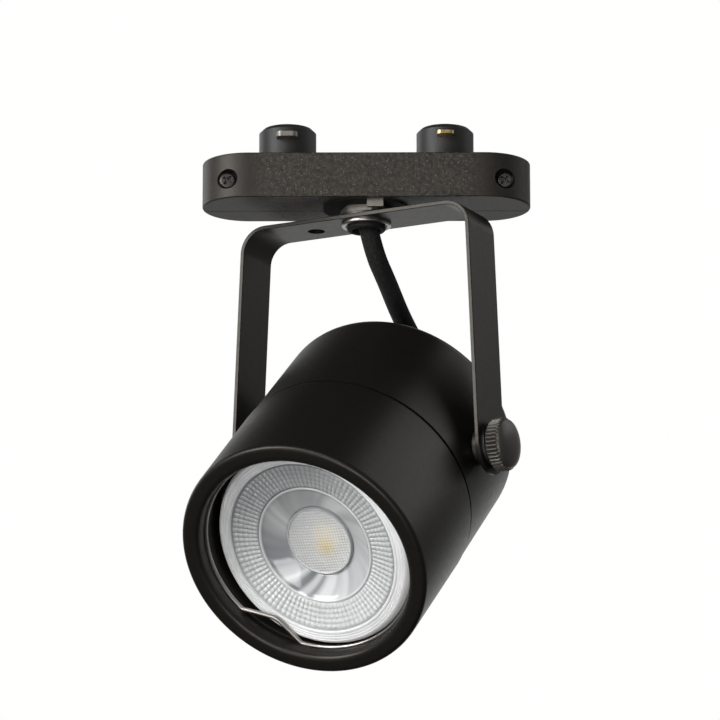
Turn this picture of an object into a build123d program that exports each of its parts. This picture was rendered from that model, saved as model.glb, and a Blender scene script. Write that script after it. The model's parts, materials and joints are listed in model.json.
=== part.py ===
from build123d import *
import math
import os

# Track spotlight with a pill-shaped track adapter, a U-shaped sheet-metal yoke
# and a short round lamp head that holds a 50 mm twist-lock reflector lamp.
# Millimetres, +Z up. The origin lies on the swivel axis, in the adapter's flat
# top face, which bears against the track.

os.makedirs("parts", exist_ok=True)

# ---- Driving dimensions --------------------------------------------------

# Pose of the joints at rest
pan_rest = 27.1          # yoke turned clockwise about the swivel axis, seen from above
tilt_rest = 40.8         # head's optical axis below the horizontal

# Adapter shells
adapter_length = 79.0
adapter_width = 22.4
adapter_height = 11.0
shell_wall = 1.6
floor_thickness = 1.8
parting_y = 1.9          # joint between the front and the rear shell
screw_x = 33.2
screw_z = -6.3
screw_shank_radius = 1.3
screw_head_radius = 2.0
counterbore_radius = 2.45
counterbore_floor_y = -7.4
screw_post_radius = 3.0

# Turning locks in the adapter
rotor_x = 19.0
rotor_radius = 6.9
rotor_top = 8.6
rotor_bottom = -9.1
rotor_bore_radius = 5.0
rotor_bore_top = 3.4
lever_reach = 14.0
lever_width = 2.6
lever_bottom = -6.2
lever_thickness = 1.8
blade_reach = 9.6

# Swivel
stem_radius = 3.95
stem_bore_radius = 3.0
stem_top = 6.4           # above the adapter's underside
running_clearance = 0.05
ferrule_radius = 6.0
ferrule_height = 0.8
collar_radius = 10.4
collar_thickness = 0.3

# Yoke, measured from the adapter's underside
strip_width = 13.8
strip_thickness = 1.0
bar_top = -2.74
arm_half_gap = 29.5      # inside half width at the top of the bar
arm_splay = 0.0435       # sideways lean of each arm, per millimetre of drop
bend_radius = 5.5        # inside of the bends
pivot_drop = 62.0
arm_hole_radius = 2.3
spare_hole = (-13.9, 0.5)
spare_hole_radius = 2.1
spare_hole_rim = 0.5     # height of the rim pulled up around the hole

# Head, measured along its axis from the point nearest to the pivot line
axis_offset = 2.05       # pivot line to can axis
can_radius = 30.2
rear_radius = 30.0
rear_end = -21.2
groove_start = 11.9
groove_end = 12.7
front_end = 44.2
mouth_radius = 25.8
cap_wall = 1.5
shoulder_s = 30.4
ring_s = 40.0
ring_radius = 25.75
ring_wire_radius = 0.55

# Lamp, a 50 mm reflector lamp that sits slightly crooked in the can
lens_s = 38.5
lamp_lean_x = -0.081
lamp_lean_y = 0.10
lamp_radius = 25.0
lens_radius = 21.35
body_end = -44.0
pin_spacing = 10.0

# Cable
cord_diameter = 4.7
gland_end = -24.2
bush_end = -5.6          # below the adapter's underside
bush_radius = 4.6
bush_bore_radius = 3.3

# ---- Frames --------------------------------------------------------------

pan = math.radians(pan_rest)
tilt = math.radians(tilt_rest)
across = Vector(math.cos(pan), -math.sin(pan), 0)     # along the yoke's bar
ahead = Vector(math.sin(pan), math.cos(pan), 0)       # square to the bar
up = Vector(0, 0, 1)

yoke_frame = Plane(origin=(0, 0, -adapter_height), x_dir=across, z_dir=up)
pivot = yoke_frame.origin - up * pivot_drop
optical_axis = ahead * -math.cos(tilt) - up * math.sin(tilt)
head_y = optical_axis.cross(across)
head_frame = Plane(origin=pivot - head_y * axis_offset, x_dir=across, z_dir=optical_axis)

lamp_axis = (optical_axis + across * lamp_lean_x + head_y * lamp_lean_y).normalized()
lamp_x = (across - lamp_axis * across.dot(lamp_axis)).normalized()
lamp_frame = Plane(
    origin=head_frame.origin + optical_axis * lens_s, x_dir=lamp_x, z_dir=lamp_axis
)


def section(frame):
    """The plane through a frame's x and z axes, for outlines of (radius, height)."""
    return Plane(origin=frame.origin, x_dir=frame.x_dir, z_dir=-frame.y_dir)


def spin(frame):
    """A frame's z axis, to turn outlines about."""
    return Axis(frame.origin, frame.z_dir)


def knob_frame(sign):
    """The pivot line seen from one side of the head, with z pointing outwards."""
    return Plane(origin=pivot, x_dir=optical_axis, z_dir=across * sign)


def save(builder, name):
    """Labels a finished piece and writes it to its own file."""
    builder.part.label = name
    export_step(builder.part, f"parts/{name}.step")


def ring(frame, bottom, top, outer, inner):
    """A plain flat ring or tube about a frame's z axis."""
    with BuildPart() as piece:
        with BuildSketch(frame.offset(bottom)):
            Circle(outer)
            Circle(inner, mode=Mode.SUBTRACT)
        extrude(amount=top - bottom)
    return piece


def hex_nut(frame, bottom, top, across_flats, bore, turn):
    """A hexagon nut whose corners are chamfered on both faces."""
    corner_chamfer = 0.5
    with BuildPart() as piece:
        with BuildSketch(frame.offset(bottom)):
            RegularPolygon(across_flats / 2, 6, major_radius=False, rotation=turn)
        extrude(amount=top - bottom)
        with BuildSketch(frame.offset(bottom)):
            Circle(across_flats / 2 + corner_chamfer)
        extrude(amount=top - bottom, mode=Mode.INTERSECT)
        with BuildSketch(frame.offset(bottom)):
            Circle(bore)
        extrude(amount=top - bottom, mode=Mode.SUBTRACT)
    return piece


def wire_tube(points, radii, wire_radius):
    """A round wire along straight runs joined by tangent arcs."""
    with BuildPart() as piece:
        with BuildLine() as route:
            FilletPolyline(*points, radius=radii)
        with BuildSketch(Plane(origin=route.line @ 0, z_dir=route.line % 0)):
            Circle(wire_radius)
        sweep(path=route.line)
    return piece


# ---- Adapter shells ------------------------------------------------------

screw_plane = Plane(origin=(0, 0, screw_z), x_dir=(1, 0, 0), z_dir=(0, 1, 0))
lever_slot_bottom = lever_bottom - 0.2
lever_slot_height = lever_thickness + 0.4
tab_x = 2.1
tab_width = 3.9
tab_front_y = -9.5
tab_thickness = 1.2

with BuildPart() as cavity:
    with BuildSketch(Plane.XY.offset(floor_thickness - adapter_height)):
        SlotOverall(adapter_length - 2 * shell_wall, adapter_width - 2 * shell_wall)
    extrude(amount=adapter_height - floor_thickness - shell_wall)
    with BuildSketch(screw_plane):
        with Locations((-screw_x, 0), (screw_x, 0)):
            Circle(screw_post_radius)
    extrude(amount=adapter_width, both=True, mode=Mode.SUBTRACT)

# Shallow groove around the outside, where the two shells meet
joint_line_depth = 0.3
joint_line_width = 0.3
with BuildPart() as joint_line:
    with BuildSketch(Plane.XZ.offset(-parting_y)):
        with Locations((0, -adapter_height / 2)):
            Rectangle(adapter_length + 2, adapter_height + 2)
    extrude(amount=joint_line_width / 2, both=True)
    with BuildSketch(Plane.XY.offset(joint_line_depth - adapter_height)):
        SlotOverall(adapter_length - 2 * joint_line_depth, adapter_width - 2 * joint_line_depth)
    extrude(amount=adapter_height - 2 * joint_line_depth, mode=Mode.SUBTRACT)


def adapter_shell(keep):
    """One half of the adapter's case, cut at the upright joint between the shells."""
    with BuildPart() as shell:
        with BuildSketch(Plane.XY.offset(-adapter_height)):
            SlotOverall(adapter_length, adapter_width)
        extrude(amount=adapter_height)
        fillet(shell.faces().sort_by(Axis.Z)[0].edges(), 0.35)
        fillet(shell.faces().sort_by(Axis.Z)[-1].edges(), 0.35)
        add(cavity.part, mode=Mode.SUBTRACT)
        add(joint_line.part, mode=Mode.SUBTRACT)
        with BuildSketch(Plane.XY):
            with Locations((-rotor_x, 0), (rotor_x, 0)):
                Circle(rotor_radius + running_clearance)
        extrude(amount=-shell_wall, mode=Mode.SUBTRACT)
        with BuildSketch(Plane.XY.offset(-adapter_height)):
            Circle(stem_radius + running_clearance)
            with Locations((tab_x, tab_front_y + tab_thickness / 2)):
                Rectangle(tab_width, tab_thickness)
        extrude(amount=floor_thickness, mode=Mode.SUBTRACT)
        with BuildSketch(Plane.XY.offset(lever_slot_bottom)):
            with Locations((-rotor_x, 10.2), (rotor_x, 10.2)):
                Rectangle(22.2, 3.4)
        extrude(amount=lever_slot_height, mode=Mode.SUBTRACT)
        with BuildSketch(screw_plane):
            with Locations((-screw_x, 0), (screw_x, 0)):
                Circle(screw_shank_radius)
        extrude(amount=8.5, mode=Mode.SUBTRACT)
        with BuildSketch(screw_plane.offset(parting_y)):
            with Locations((-screw_x, 0), (screw_x, 0)):
                Circle(screw_shank_radius + 0.15)
        extrude(amount=counterbore_floor_y - parting_y, mode=Mode.SUBTRACT)
        with BuildSketch(screw_plane.offset(counterbore_floor_y)):
            with Locations((-screw_x, 0), (screw_x, 0)):
                Circle(counterbore_radius)
        extrude(amount=-adapter_width, mode=Mode.SUBTRACT)
        split(bisect_by=Plane(origin=(0, parting_y, 0), z_dir=(0, 1, 0)), keep=keep)
    return shell


front_shell = adapter_shell(Keep.BOTTOM)
save(front_shell, "front_shell")
rear_shell = adapter_shell(Keep.TOP)
save(rear_shell, "rear_shell")

# Two cross-head screws clamp the shells together
screw_head_height = 1.5
recess_depth = 0.8
with BuildPart() as case_screws:
    with BuildSketch(screw_plane.offset(counterbore_floor_y)):
        with Locations((-screw_x, 0), (screw_x, 0)):
            Circle(screw_head_radius)
    extrude(amount=-screw_head_height)
    fillet(case_screws.faces().sort_by(Axis.Y)[0:2].edges(), 0.6)
    with BuildSketch(screw_plane.offset(counterbore_floor_y)):
        with Locations((-screw_x, 0), (screw_x, 0)):
            Circle(screw_shank_radius)
    extrude(amount=8.0 - counterbore_floor_y)
    with BuildSketch(screw_plane.offset(counterbore_floor_y - screw_head_height)):
        with Locations((-screw_x, 0), (screw_x, 0)):
            Rectangle(2.5, 0.55, rotation=38)
            Rectangle(2.5, 0.55, rotation=128)
    extrude(amount=recess_depth, mode=Mode.SUBTRACT)
save(case_screws, "case_screws")

# ---- Turning locks in the adapter ----------------------------------------

# Live and neutral blades, each with a leg that hangs down inside the rotor
with BuildPart() as contact_blades:
    for side in (-1, 1):
        with BuildSketch(Plane.XY.offset(5.2)):
            with Locations((rotor_x, side * (2.6 + blade_reach) / 2)):
                Rectangle(4.0, blade_reach - 2.6)
        extrude(amount=0.8)
        with BuildSketch(Plane.XY.offset(-8.4)):
            with Locations((rotor_x, side * 3.0)):
                Rectangle(2.0, 0.8)
        extrude(amount=13.6)
    fillet(contact_blades.edges().filter_by(Axis.Z).group_by(Axis.Y)[0], 0.9)
    fillet(contact_blades.edges().filter_by(Axis.Z).group_by(Axis.Y)[-1], 0.9)
save(contact_blades, "contact_blades")

# Steel bar that turns under the track's ledges and carries the spotlight
with BuildPart() as lock_dog:
    with BuildSketch(Plane.XY.offset(4.6)):
        with Locations((-rotor_x, 0)):
            Rectangle(5.0, 2 * blade_reach)
    extrude(amount=1.2)
    fillet(lock_dog.edges().filter_by(Axis.Z), 1.2)
save(lock_dog, "lock_dog")


def rotor(centre_x, lever_angle, insert):
    """A turning lock: hollow post, retaining flange and finger lever, around its insert."""
    flange_radius = 8.2
    flange_bottom = -3.4
    flange_top = -1.7
    frame = Plane(origin=(centre_x, 0, 0))
    with BuildPart() as post:
        with BuildSketch(frame.offset(rotor_bottom)):
            Circle(rotor_radius)
        extrude(amount=rotor_top - rotor_bottom)
        chamfer(post.faces().sort_by(Axis.Z)[-1].edges(), 1.0)
        with BuildSketch(frame.offset(flange_bottom)):
            Circle(flange_radius)
        extrude(amount=flange_top - flange_bottom)
        with BuildSketch(frame.offset(lever_bottom)):
            with Locations(Location((0, 0, 0), (0, 0, lever_angle))):
                with Locations((lever_reach / 2 + 2.9, 0)):
                    SlotOverall(lever_reach - 5.8, lever_width)
        extrude(amount=lever_thickness)
        with BuildSketch(frame.offset(rotor_bottom)):
            Circle(rotor_bore_radius)
        extrude(amount=rotor_bore_top - rotor_bottom, mode=Mode.SUBTRACT)
        with BuildSketch(frame.offset(rotor_bottom)):
            inner_side = -math.copysign(1, centre_x)
            with Locations((inner_side * (rotor_radius / 2 + 1.5), 0)):
                Rectangle(rotor_radius, 2 * rotor_radius)
        extrude(amount=2.5, mode=Mode.SUBTRACT)
        add(insert.part, mode=Mode.SUBTRACT)
    return post


contact_rotor = rotor(rotor_x, 45, contact_blades)
save(contact_rotor, "contact_rotor")
lock_rotor = rotor(-rotor_x, 135, lock_dog)
save(lock_rotor, "lock_rotor")

# Two leads from the cable's upper end, over the stem's nut and down into the contact rotor
with BuildPart() as supply_wires:
    for side in (-1, 1):
        wire = wire_tube(
            [
                (0.9, 1.1 * side, -4.15),
                (0.9, 1.1 * side, -2.7),
                (8.9, 2.4 * side, -2.9),
                (9.4, 2.7 * side, -7.6),
                (rotor_x - 1.0, 3.0 * side, -7.9),
            ],
            [0.8, 1.2, 1.2],
            0.55,
        )
        add(wire.part)
save(supply_wires, "supply_wires")

# ---- Swivel --------------------------------------------------------------

# Plate on the adapter's floor; its bent-down tab is the pan stop
with BuildPart() as stop_plate:
    with BuildSketch(Plane.XY.offset(floor_thickness - adapter_height)):
        Circle(8.0)
        with Locations((tab_x, tab_front_y / 2 - 3.0)):
            Rectangle(tab_width, -tab_front_y - 6.0)
        Circle(stem_radius + running_clearance, mode=Mode.SUBTRACT)
    extrude(amount=0.8)
    with BuildSketch(Plane.XY.offset(-adapter_height - 2.0)):
        with Locations((tab_x, tab_front_y + tab_thickness / 2)):
            Rectangle(tab_width, tab_thickness)
    extrude(amount=2.0 + floor_thickness)
    fillet(stop_plate.edges().group_by(Axis.Z)[0], 0.25)
save(stop_plate, "stop_plate")

with BuildPart() as swivel_collar:
    with BuildSketch(Plane.XY.offset(-adapter_height - collar_thickness)):
        Circle(collar_radius)
        Circle(stem_radius + running_clearance, mode=Mode.SUBTRACT)
        with Locations((tab_x, tab_front_y + tab_thickness - 2.0)):
            Rectangle(tab_width, 4.0, mode=Mode.SUBTRACT)
    extrude(amount=collar_thickness)
save(swivel_collar, "swivel_collar")

# Hollow stem with a rolled rim below the bar, around a shallow recess for the bush
ferrule_bottom = bar_top - strip_thickness - ferrule_height
bush_seat = ferrule_bottom + 0.45
with BuildPart() as swivel_stem:
    with BuildSketch(section(yoke_frame)):
        with BuildLine():
            Polyline(
                (stem_bore_radius, bush_seat),
                (stem_bore_radius, stem_top),
                (stem_radius, stem_top),
                (stem_radius, bar_top - strip_thickness),
                (ferrule_radius, bar_top - strip_thickness),
                (ferrule_radius, ferrule_bottom),
                (ferrule_radius - 0.9, ferrule_bottom),
                (ferrule_radius - 1.2, bush_seat),
                close=True,
            )
        make_face()
    revolve(axis=spin(yoke_frame))
    fillet(swivel_stem.edges().group_by(Axis.Z)[0], 0.4)
save(swivel_stem, "swivel_stem")

with BuildPart() as cable_bush:
    with BuildSketch(section(yoke_frame)):
        with BuildLine():
            Polyline(
                (bush_bore_radius, bush_seat),
                (bush_radius, bush_seat),
                (bush_radius, bush_end + 0.3),
                (bush_radius - 0.3, bush_end),
                (bush_bore_radius + 0.2, bush_end),
                close=True,
            )
        make_face()
    revolve(axis=spin(yoke_frame))
save(cable_bush, "cable_bush")

# Above the bar a lock washer and a thin nut; inside the adapter a spring washer and a nut
washer_top = bar_top + 0.7
lock_washer = ring(yoke_frame, bar_top, washer_top, 6.6, stem_radius)
save(lock_washer, "lock_washer")
nut_top = -collar_thickness - 0.1
swivel_nut = hex_nut(yoke_frame, washer_top, nut_top, 11.6, stem_radius, 16)
save(swivel_nut, "swivel_nut")
spring_washer = ring(yoke_frame, 2.65, 3.4, 6.5, stem_radius)
save(spring_washer, "spring_washer")
retaining_nut = hex_nut(yoke_frame, 3.4, 5.8, 12.0, stem_radius, 0)
save(retaining_nut, "retaining_nut")

# Stud on the bar that meets the stop plate's tab near the end of each turn
stop_pin_radius = 0.8
stop_pin_x = -9.0
with BuildPart() as stop_pin:
    with BuildSketch(yoke_frame.offset(bar_top)):
        with Locations((stop_pin_x, 0)):
            Circle(stop_pin_radius)
    extrude(amount=1.5)
save(stop_pin, "stop_pin")

# ---- Yoke ----------------------------------------------------------------


def arm_inside(height):
    """Inner half width of the yoke at a height below the adapter's underside."""
    return arm_half_gap + arm_splay * (bar_top - height)


arm_tip = -pivot_drop - strip_width / 2
bar_bottom = bar_top - strip_thickness
lean = math.sqrt(1 + arm_splay**2)
outer_side = strip_thickness * lean

with BuildPart() as yoke:
    with BuildSketch(section(yoke_frame)):
        with BuildLine():
            outer = FilletPolyline(
                (-arm_inside(arm_tip) - outer_side, arm_tip),
                (-arm_inside(bar_top) - outer_side, bar_top),
                (arm_inside(bar_top) + outer_side, bar_top),
                (arm_inside(arm_tip) + outer_side, arm_tip),
                radius=bend_radius + strip_thickness,
            )
            inner = FilletPolyline(
                (-arm_inside(arm_tip), arm_tip),
                (-arm_inside(bar_bottom), bar_bottom),
                (arm_inside(bar_bottom), bar_bottom),
                (arm_inside(arm_tip), arm_tip),
                radius=bend_radius,
            )
            Line(outer @ 0, inner @ 0)
            Line(outer @ 1, inner @ 1)
        make_face()
    extrude(amount=strip_width / 2, both=True)
    strip_sides = yoke.faces().filter_by(lambda f: abs(f.normal_at().dot(ahead)) > 0.99)
    chamfer(strip_sides.edges(), 0.13)
    with BuildSketch(knob_frame(1)):
        with Locations(Location((0, 0, 0), (0, 0, -90 + tilt_rest))):
            with Locations((0, 25)):
                Rectangle(60, 50)
            Circle(strip_width / 2, mode=Mode.SUBTRACT)
    extrude(amount=45, both=True, mode=Mode.SUBTRACT)
    with BuildSketch(knob_frame(1)):
        Circle(arm_hole_radius)
    extrude(amount=45, both=True, mode=Mode.SUBTRACT)
    with BuildSketch(yoke_frame.offset(bar_top)):
        with Locations(spare_hole):
            Circle(spare_hole_radius + 0.6)
    extrude(amount=spare_hole_rim)
    with BuildSketch(yoke_frame.offset(bar_bottom)):
        Circle(stem_radius)
        with Locations(spare_hole):
            Circle(spare_hole_radius)
    extrude(amount=strip_thickness + spare_hole_rim, mode=Mode.SUBTRACT)
save(yoke, "yoke")


def arm_frame(sign):
    """The point where the pivot line meets an arm's inner face, z pointing out of the arm."""
    outwards = (across * sign + up * arm_splay).normalized()
    down_arm = (across * sign * arm_splay - up).normalized()
    face_point = pivot + across * sign * arm_inside(-pivot_drop)
    return Plane(origin=face_point, x_dir=down_arm, z_dir=outwards)


# ---- Head ----------------------------------------------------------------

insert_radius = 3.1

with BuildPart() as rear_cap:
    with BuildSketch(section(head_frame)):
        with BuildLine():
            Polyline(
                (0, rear_end),
                (rear_radius - 0.3, rear_end),
                (rear_radius, groove_start),
                (rear_radius - cap_wall, groove_start),
                (rear_radius - cap_wall - 0.3, rear_end + cap_wall),
                (0, rear_end + cap_wall),
                close=True,
            )
        make_face()
    revolve(axis=spin(head_frame))
    ends = rear_cap.edges().filter_by(GeomType.CIRCLE).sort_by(spin(head_frame))
    fillet(ends[0], 4.0)
    fillet(ends[1], 2.5)
    fillet(ends[-1], 0.4)
    with BuildSketch(head_frame.offset(rear_end)):
        Circle(4.0)
    extrude(amount=cap_wall, mode=Mode.SUBTRACT)
    with BuildSketch(knob_frame(1)):
        Circle(insert_radius)
    extrude(amount=40, both=True, mode=Mode.SUBTRACT)
save(rear_cap, "rear_cap")

spigot_start = 4.0
spigot_radius = rear_radius - cap_wall
groove_radius = 26.5
with BuildPart() as front_tube:
    with BuildSketch(section(head_frame)):
        with BuildLine():
            Polyline(
                (spigot_radius - cap_wall, spigot_start),
                (spigot_radius - 0.1, spigot_start),
                (spigot_radius - 0.1, groove_end),
                (can_radius, groove_end),
                (can_radius, front_end),
                (mouth_radius + 1.3, front_end),
                (mouth_radius + 0.4, front_end - 0.4),
                (mouth_radius, front_end - 1.3),
                (mouth_radius, ring_s + 0.8),
                (groove_radius, ring_s + 0.8),
                (groove_radius, ring_s - 0.8),
                (mouth_radius, ring_s - 0.8),
                (mouth_radius, shoulder_s),
                (23.7, shoulder_s),
                (23.7, shoulder_s - 1.6),
                (28.2, shoulder_s - 3.2),
                (28.2, groove_end + 1.5),
                (spigot_radius - cap_wall, groove_end),
                close=True,
            )
        make_face()
    revolve(axis=spin(head_frame))
    outside = front_tube.edges().filter_by(GeomType.CIRCLE).group_by(SortBy.RADIUS)[-1]
    rims = outside.sort_by(spin(head_frame))
    fillet(rims[0], 0.35)
    fillet(rims[-1], 1.0)
save(front_tube, "front_tube")

# Spring-wire ring in the mouth's groove, with a finger notch bent inwards
notch_start = math.radians(-149.5)
notch_tip = math.radians(-131)
notch_end = math.radians(-113)
gap_start = math.radians(45)
gap_end = math.radians(55)


def on_ring(radius, angle):
    return (radius * math.cos(angle), radius * math.sin(angle))


def ring_arc(start, end):
    return ThreePointArc(
        on_ring(ring_radius, start),
        on_ring(ring_radius, (start + end) / 2),
        on_ring(ring_radius, end),
    )


with BuildPart() as snap_ring:
    with BuildLine(head_frame.offset(ring_s)) as ring_path:
        first = ring_arc(gap_end - 2 * math.pi, notch_start)
        leg_in = Line(first @ 1, on_ring(21.7, notch_tip))
        leg_out = Line(leg_in @ 1, on_ring(ring_radius, notch_end))
        ring_arc(notch_end, gap_start)
    with BuildSketch(Plane(origin=ring_path.line @ 0, z_dir=ring_path.line % 0)):
        Circle(ring_wire_radius)
    sweep(path=ring_path.line, transition=Transition.ROUND)
save(snap_ring, "snap_ring")

# Rubber grommet where the cable enters the rear cap
with BuildPart() as cable_grommet:
    with BuildSketch(section(head_frame)):
        with BuildLine():
            Polyline(
                (cord_diameter / 2, gland_end),
                (3.5, gland_end),
                (4.6, rear_end - 1.3),
                (5.5, rear_end - 1.1),
                (5.5, rear_end),
                (4.0, rear_end),
                (4.0, rear_end + cap_wall),
                (5.2, rear_end + cap_wall),
                (5.0, rear_end + cap_wall + 0.9),
                (cord_diameter / 2, rear_end + cap_wall + 0.9),
                close=True,
            )
        make_face()
    revolve(axis=spin(head_frame))
save(cable_grommet, "cable_grommet")

# ---- Lamp ----------------------------------------------------------------

bezel_back = -4.6
body_top = -2.4

with BuildPart() as lamp_bezel:
    with BuildSketch(section(lamp_frame)):
        with BuildLine():
            Polyline(
                (lens_radius, 0),
                (23.2, -0.3),
                (24.7, -1.3),
                (lamp_radius, -2.2),
                (lamp_radius, bezel_back),
                (22.6, bezel_back),
                (22.6, body_top),
                (lens_radius, body_top),
                close=True,
            )
        make_face()
    revolve(axis=spin(lamp_frame))
save(lamp_bezel, "lamp_bezel")

# Moulded optic: ribbed outer cone, clear dish and a collimator in the middle
with BuildPart() as lamp_lens:
    with BuildSketch(section(lamp_frame)):
        with BuildLine():
            Polyline(
                (0, -3.6),
                (8.5, -4.2),
                (8.7, -4.5),
                (14.2, -2.05),
                (14.5, -1.95),
                (lens_radius, -0.35),
                (lens_radius, -2.2),
                (14.3, -4.2),
                (9.5, -6.8),
                (0, -6.8),
                close=True,
            )
        make_face()
    revolve(axis=spin(lamp_frame))
save(lamp_lens, "lamp_lens")

# Tapered lamp body, open at the front and at the back
with BuildPart() as lamp_body:
    with BuildSketch(section(lamp_frame)):
        with BuildLine():
            Polyline(
                (21.2, body_top),
                (22.6, body_top),
                (22.6, -6.0),
                (21.8, -10.0),
                (13.2, -32.0),
                (12.4, -36.0),
                (11.2, -36.0),
                (12.0, -32.0),
                (20.6, -10.0),
                (21.2, -6.0),
                close=True,
            )
        make_face()
    revolve(axis=spin(lamp_frame))
    with BuildSketch(lamp_frame.offset(-31.0)):
        with PolarLocations(19.0, 16):
            Rectangle(7.0, 1.3)
    extrude(amount=19.0, mode=Mode.SUBTRACT)
save(lamp_body, "lamp_body")

board_top = -8.4
led_board = ring(lamp_frame, board_top - 1.2, board_top, 20.4, 1.2)
save(led_board, "led_board")

with BuildPart() as led_chip:
    with BuildSketch(lamp_frame.offset(board_top)):
        Rectangle(5.0, 5.0)
    extrude(amount=0.7)
save(led_chip, "led_chip")

with BuildPart() as driver_board:
    with BuildSketch(lamp_frame.offset(-40.0)):
        Rectangle(16.0, 1.2)
    extrude(amount=28.0)
    with BuildSketch(lamp_frame.offset(-28.0)):
        with Locations((0, 3.1)):
            Rectangle(9.0, 5.0)
    extrude(amount=9.0)
    with BuildSketch(lamp_frame.offset(-36.0)):
        with Locations((-2.5, -3.4)):
            Circle(3.0)
    extrude(amount=11.0)
save(driver_board, "driver_board")

base_wall = 1.8
with BuildPart() as lamp_base:
    with BuildSketch(lamp_frame.offset(body_end)):
        Circle(12.4)
    extrude(amount=-36.0 - body_end)
    fillet(lamp_base.faces().sort_by(spin(lamp_frame))[0].edges(), 0.8)
    with BuildSketch(lamp_frame.offset(body_end + base_wall)):
        Circle(11.2)
    extrude(amount=-36.0 - body_end - base_wall, mode=Mode.SUBTRACT)
    with BuildSketch(lamp_frame.offset(body_end)):
        with Locations((-pin_spacing / 2, 0), (pin_spacing / 2, 0)):
            Circle(1.5)
    extrude(amount=base_wall, mode=Mode.SUBTRACT)
save(lamp_base, "lamp_base")

pin_end = -51.0
with BuildPart() as lamp_pins:
    with BuildSketch(lamp_frame.offset(pin_end)):
        with Locations((-pin_spacing / 2, 0), (pin_spacing / 2, 0)):
            Circle(2.5)
    extrude(amount=2.4)
    with BuildSketch(lamp_frame.offset(pin_end + 2.4)):
        with Locations((-pin_spacing / 2, 0), (pin_spacing / 2, 0)):
            Circle(1.5)
    extrude(amount=body_end + base_wall - pin_end - 2.4)
save(lamp_pins, "lamp_pins")

# Ceramic holder that hangs on its leads behind the lamp
holder_top = body_end - 0.1
holder_back = -54.6
pocket_floor = -51.6
with BuildPart() as lampholder:
    with BuildSketch(lamp_frame.offset(holder_back)):
        SlotOverall(27.0, 17.0)
    extrude(amount=holder_top - holder_back)
    fillet(lampholder.faces().sort_by(spin(lamp_frame))[0].edges(), 1.0)
    with BuildSketch(lamp_frame.offset(pocket_floor)):
        with Locations((-pin_spacing / 2, 0), (pin_spacing / 2, 0)):
            Circle(2.7)
        with Locations((-9.6, 0), (9.6, 0)):
            Circle(1.5)
    extrude(amount=holder_top - pocket_floor, mode=Mode.SUBTRACT)
save(lampholder, "lampholder")

with BuildPart() as holder_contacts:
    with BuildSketch(lamp_frame.offset(pocket_floor)):
        with Locations((-pin_spacing / 2, 0), (pin_spacing / 2, 0)):
            Circle(2.4)
    extrude(amount=0.55)
save(holder_contacts, "holder_contacts")

# ---- Cable ---------------------------------------------------------------

# Stub of the cable's sleeve inside the swivel, the free stretch, and its end in the grommet
tail_end = rear_end + cap_wall + 1.3
with BuildPart() as cable_tail:
    with BuildSketch(head_frame.offset(gland_end)):
        Circle(cord_diameter / 2)
    extrude(amount=tail_end - gland_end)
save(cable_tail, "cable_tail")

gland_point = head_frame.origin + optical_axis * gland_end
cord_route = [
    Vector(0.6, 0, -16.2),
    Vector(2.0, 0.3, -22.4),
    Vector(4.9, 5.6, -27.6),
    Vector(8.3, 14.0, -34.3),
    Vector(12.9, 24.4, -40.4),
    gland_point - optical_axis * 11.0,
    gland_point,
]
stub_bend = cord_route[0] - (cord_route[1] - cord_route[0]).normalized() * 3.2
cable_upper = wire_tube(
    [Vector(0, 0, stem_top + 0.4 - adapter_height), stub_bend, cord_route[0]],
    [12.0],
    cord_diameter / 2,
)
save(cable_upper, "cable_upper")


def turn_radius(before, corner, after):
    """Largest tangent arc at a corner that uses 0.45 of its shorter run."""
    incoming = corner - before
    outgoing = after - corner
    half_turn = math.radians(incoming.get_angle(outgoing)) / 2
    return 0.45 * min(incoming.length, outgoing.length) / math.tan(half_turn)


cord_radii = [turn_radius(*cord_route[i : i + 3]) for i in range(len(cord_route) - 2)]
lead_cable = wire_tube(cord_route, cord_radii, cord_diameter / 2)
save(lead_cable, "lead_cable")
with BuildLine():
    cord_line = FilletPolyline(*cord_route, radius=cord_radii)
cord_length = cord_line.length
cord_section = math.pi * cord_diameter**2 / 4
print("cable radii", [round(r, 1) for r in cord_radii], "length", round(cord_length, 1))
print("cable volume", round(lead_cable.part.volume, 1), "of", round(cord_section * cord_length, 1))

# Leads from the cable's end to the lamp holder's back
with BuildPart() as holder_leads:
    for side in (-1, 1):
        tail_point = head_frame.from_local_coords((1.1 * side, 0, tail_end))
        back_point = lamp_frame.from_local_coords((-3.0 + 2.0 * side, 3.0, holder_back))
        lead = wire_tube(
            [
                tail_point,
                tail_point + optical_axis * 0.9,
                back_point - lamp_axis * 0.9,
                back_point,
            ],
            [0.35, 0.35],
            0.6,
        )
        add(lead.part)
save(holder_leads, "holder_leads")

# ---- Pivots and knobs, one set on each side --------------------------------

insert_face = 30.9
spacer_thickness = 0.8
washer_thickness = 0.6
knob_back = 34.05
knob_shoulder = 37.2
knob_top = 39.0
knob_core_radius = 5.9
knob_rib_count = 40
stud_end = 36.2

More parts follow.
